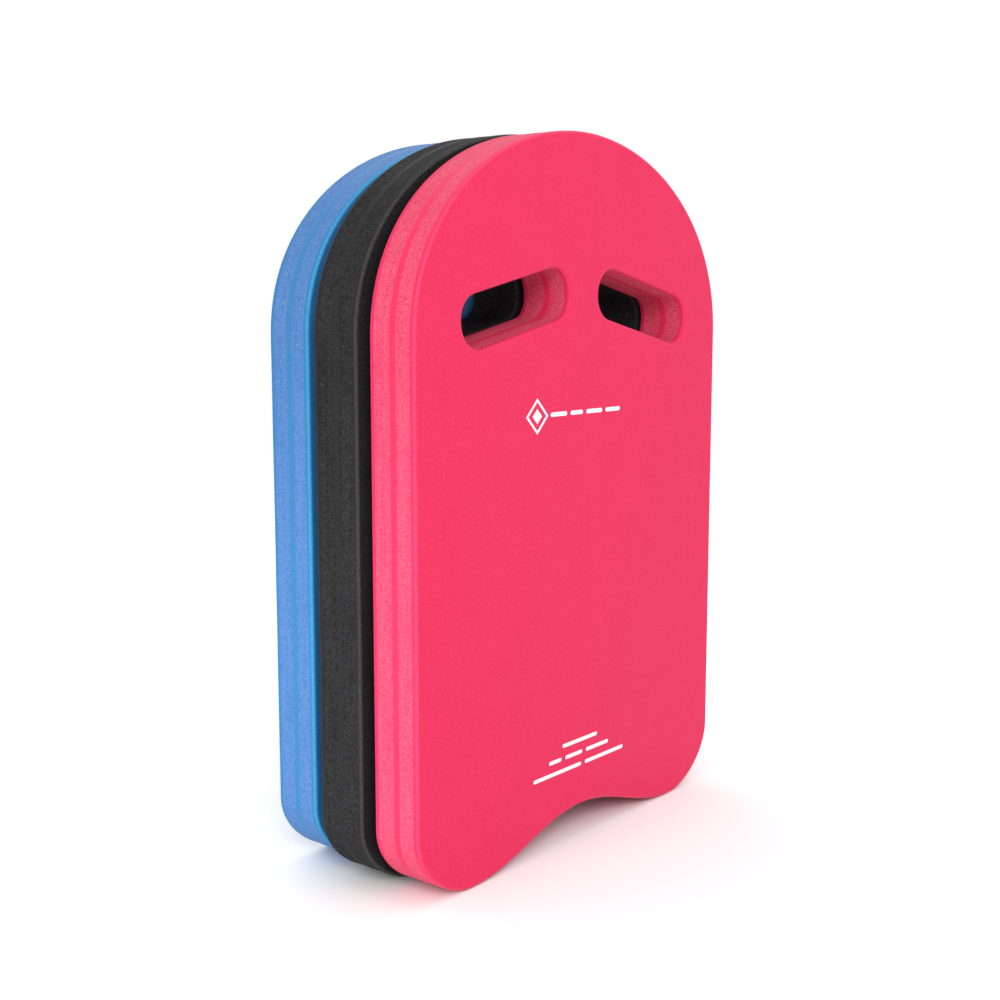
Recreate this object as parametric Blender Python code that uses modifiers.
"""A row of three foam kickboards, stood upright one behind another and slightly fanned.

Each board is a flat laminate: two dense face skins, two lighter foam cores and a dense centre ply,
all cut to one outline with an arched nose, two hand slots and a notched tail.
X runs across the boards, Y from the front board to the rear one, and Z up. Sizes are in metres.
"""

import math

import bmesh
import bpy
from mathutils import Matrix, Vector

# Outline of one board
WIDTH = 0.300
HEIGHT = 0.430
ARCH_RISE = 0.118  # arched nose above the straight sides
CORNER_RISE = 0.040  # rounded tail corner, from the floor to the straight side
LOBE_OFFSET = 0.103  # centre line to the lowest point of each tail lobe
NOTCH_DEPTH = 0.021  # hollow between the two tail lobes
ARCH_HANDLES = (0.53, 0.59)  # Bezier handle lengths, as shares of the curve's width and height
CORNER_HANDLES = (0.46, 0.53)
NOTCH_HANDLE = 0.37

# Hand slots, one on each side of the centre line
SLOT_LENGTH = 0.0984
SLOT_WIDTH = 0.0304
SLOT_CORNER = 0.0146
SLOT_OFFSET = 0.0633  # centre line to the middle of a slot
SLOT_HEIGHT = 0.328
SLOT_SLOPE = math.radians(12.5)  # each slot slopes down towards the board's side
ROUND_HANDLE = 0.5523  # handle of a quarter circle, as a share of its radius

# Plies, from the front face to the rear face
SKIN = 0.0035
CORE = 0.0105
CENTRE = 0.0050
GLUE_GAP = 0.0003  # between two plies
EDGE_RADIUS = 0.0019  # rounded edge of each face
PLIES = (
    ("front_skin", SKIN),
    ("front_core", CORE),
    ("centre_ply", CENTRE),
    ("rear_core", CORE),
    ("rear_skin", SKIN),
)
THICKNESS = sum(thickness for _, thickness in PLIES)

# The row: each board turns about Z and stands just clear of the one in front at its right-hand edge
CLEARANCE = 0.0005
BOARDS = (
    # name, fan angle, shift along X
    ("pink", 0.0, 0.0),
    ("black", math.radians(0.8), -0.0049),
    ("blue", math.radians(2.9), 0.0019),
)

# Base colour of the dense plies and of the foam cores, in linear RGB
COLOURS = {
    "pink": ((0.91, 0.055, 0.140), (0.95, 0.130, 0.245)),
    "black": ((0.022, 0.021, 0.022), (0.036, 0.036, 0.038)),
    "blue": ((0.085, 0.330, 0.680), (0.135, 0.360, 0.760)),
}
SKIN_ROUGHNESS = 0.55
CORE_ROUGHNESS = 0.80

ARC_STEPS = 12  # steps between two Bezier points of the outline
SLOT_STEPS = 4
BEVEL_SEGMENTS = 2
MERGE_DISTANCE = 1e-6
FLAT_TOLERANCE = 1e-5
EDGE_ANGLE = math.radians(45.0)  # a sharper turn than this is an edge of the face


def clear_scene():
    for obj in list(bpy.data.objects):
        bpy.data.objects.remove(obj, do_unlink=True)


def new_collection(name):
    collection = bpy.data.collections.new(name)
    bpy.context.scene.collection.children.link(collection)
    return collection


def make_material(name, colour, roughness):
    material = bpy.data.materials.new(name)
    material.use_nodes = True
    shader = material.node_tree.nodes["Principled BSDF"]
    shader.inputs["Base Color"].default_value = (*colour, 1.0)
    shader.inputs["Roughness"].default_value = roughness
    shader.inputs["Metallic"].default_value = 0.0
    material.diffuse_color = (*colour, 1.0)
    return material


def add_spline(curve, points, steps):
    """Adds a closed Bezier spline. Each point is its place and its two handles, relative to it.

    A handle of zero length starts a straight stretch.
    """
    spline = curve.splines.new("BEZIER")
    spline.bezier_points.add(len(points) - 1)
    spline.use_cyclic_u = True
    spline.resolution_u = steps
    for point, (place, arriving, leaving) in zip(spline.bezier_points, points):
        place = Vector((*place, 0.0))
        point.co = place
        for side, handle in (("left", arriving), ("right", leaving)):
            straight = not any(handle)
            setattr(point, f"handle_{side}_type", "VECTOR" if straight else "FREE")
            setattr(point, f"handle_{side}", place + Vector((*handle, 0.0)))


def outline_points():
    """The board's outline, clockwise from the top of the nose."""
    half = WIDTH / 2
    arch = (ARCH_HANDLES[0] * half, ARCH_HANDLES[1] * ARCH_RISE)
    corner = (CORNER_HANDLES[0] * (half - LOBE_OFFSET), CORNER_HANDLES[1] * CORNER_RISE)
    notch = NOTCH_HANDLE * LOBE_OFFSET
    right = [
        ((half, HEIGHT - ARCH_RISE), (0.0, arch[1]), (0.0, 0.0)),
        ((half, CORNER_RISE), (0.0, 0.0), (0.0, -corner[1])),
        ((LOBE_OFFSET, 0.0), (corner[0], 0.0), (-notch, 0.0)),
    ]
    left = [
        ((-x, z), (-leave[0], leave[1]), (-arrive[0], arrive[1]))
        for (x, z), arrive, leave in reversed(right)
    ]
    nose = ((0.0, HEIGHT), (-arch[0], 0.0), (arch[0], 0.0))
    crest = ((0.0, NOTCH_DEPTH), (notch, 0.0), (-notch, 0.0))
    return [nose, *right, crest, *left]


def slot_points(side):
    """A rounded rectangle, wound against the outline so that it is cut out of it."""
    length = SLOT_LENGTH / 2
    width = SLOT_WIDTH / 2
    handle = ROUND_HANDLE * SLOT_CORNER
    points = []
    for turn, (x_sign, z_sign) in enumerate(((1, 1), (-1, 1), (-1, -1), (1, -1))):
        on_end = (x_sign * length, z_sign * (width - SLOT_CORNER))
        on_side = (x_sign * (length - SLOT_CORNER), z_sign * width)
        end_handle = (0.0, z_sign * handle)
        side_handle = (x_sign * handle, 0.0)
        if turn % 2 == 0:
            points.append((on_end, (0.0, 0.0), end_handle))
            points.append((on_side, side_handle, (0.0, 0.0)))
        else:
            points.append((on_side, (0.0, 0.0), side_handle))
            points.append((on_end, end_handle, (0.0, 0.0)))
    turned = Matrix.Rotation(-side * SLOT_SLOPE, 2)
    middle = Vector((side * SLOT_OFFSET, SLOT_HEIGHT))
    return [
        (turned @ Vector(place) + middle, turned @ Vector(arriving), turned @ Vector(leaving))
        for place, arriving, leaving in points
    ]


def slab_mesh(name, front, rear):
    """A slab with the board's outline and slots, standing up, between two depths behind the front face."""
    curve = bpy.data.curves.new(name + "_outline", "CURVE")
    curve.dimensions = "2D"
    curve.fill_mode = "BOTH"
    curve.extrude = (rear - front) / 2
    add_spline(curve, outline_points(), ARC_STEPS)
    add_spline(curve, slot_points(-1), SLOT_STEPS)
    add_spline(curve, slot_points(1), SLOT_STEPS)
    flat = bpy.data.objects.new(name + "_outline", curve)
    mesh = bpy.data.meshes.new_from_object(flat)
    mesh.name = name
    bpy.data.objects.remove(flat)
    bpy.data.curves.remove(curve)
    upright = Matrix.Rotation(math.pi / 2, 4, "X")
    mesh.transform(Matrix.Translation((0.0, (front + rear) / 2, 0.0)) @ upright)
    work = bmesh.new()
    work.from_mesh(mesh)
    bmesh.ops.remove_doubles(work, verts=work.verts, dist=MERGE_DISTANCE)
    bmesh.ops.recalc_face_normals(work, faces=work.faces)
    work.to_mesh(mesh)
    work.free()
    return mesh


def mark_outer_edges(mesh, depth):
    """Gives a bevel weight to every edge between the outer face, at this depth, and the cut sides."""
    work = bmesh.new()
    work.from_mesh(mesh)
    weight = work.edges.layers.float.new("bevel_weight_edge")
    for edge in work.edges:
        on_face = all(abs(vert.co.y - depth) < FLAT_TOLERANCE for vert in edge.verts)
        if on_face and edge.calc_face_angle(0.0) > EDGE_ANGLE:
            edge[weight] = 1.0
    work.to_mesh(mesh)
    work.free()


def add_ply(board, ply, front, rear, parent, collection, material):
    """One ply as its own object. A ply that carries a face gets that face's rounded edge."""
    outer = {"front_skin": front, "rear_skin": rear}.get(ply)
    front += 0.0 if outer == front else GLUE_GAP / 2
    rear -= 0.0 if outer == rear else GLUE_GAP / 2
    name = f"{board}_{ply}"
    mesh = slab_mesh(name, front, rear)
    mesh.materials.append(material)
    obj = bpy.data.objects.new(name, mesh)
    collection.objects.link(obj)
    obj.parent = parent
    if outer is not None:
        mark_outer_edges(mesh, outer)
        bevel = obj.modifiers.new("rounded_edge", "BEVEL")
        bevel.limit_method = "WEIGHT"
        bevel.width = EDGE_RADIUS
        bevel.segments = BEVEL_SEGMENTS
    return obj


def add_board(name, place, fan, root, collection):
    """The five plies of one board, on an empty at the foot of its front face."""
    frame = bpy.data.objects.new(name + "_board", None)
    collection.objects.link(frame)
    frame.parent = root
    frame.location = place
    frame.rotation_euler.z = -fan
    dense, foam = COLOURS[name]
    dense_material = make_material(name + "_dense_foam", dense, SKIN_ROUGHNESS)
    core_material = make_material(name + "_core_foam", foam, CORE_ROUGHNESS)
    front = 0.0
    plies = []
    for ply, thickness in PLIES:
        material = core_material if ply.endswith("core") else dense_material
        plies.append(add_ply(name, ply, front, front + thickness, frame, collection, material))
        front += thickness
    return plies


def centre_on_origin(root, plies):
    """Moves the row so that the middle of its base is the origin."""
    bpy.context.view_layer.update()
    corners = [ply.matrix_world @ vert.co for ply in plies for vert in ply.data.vertices]
    for axis in (0, 1):
        values = [corner[axis] for corner in corners]
        root.location[axis] = -(min(values) + max(values)) / 2


def main():
    clear_scene()
    collection = new_collection("kickboard_set")
    root = bpy.data.objects.new("kickboard_set", None)
    collection.objects.link(root)
    plies = []
    rear_edge = -CLEARANCE  # depth of the last board's rear face at its right-hand edge
    for name, fan, shift in BOARDS:
        reach = WIDTH / 2 * math.sin(fan)
        depth = rear_edge + CLEARANCE + reach
        plies += add_board(name, (shift, depth, 0.0), fan, root, collection)
        rear_edge = depth - reach + THICKNESS * math.cos(fan)
    centre_on_origin(root, plies)


main()
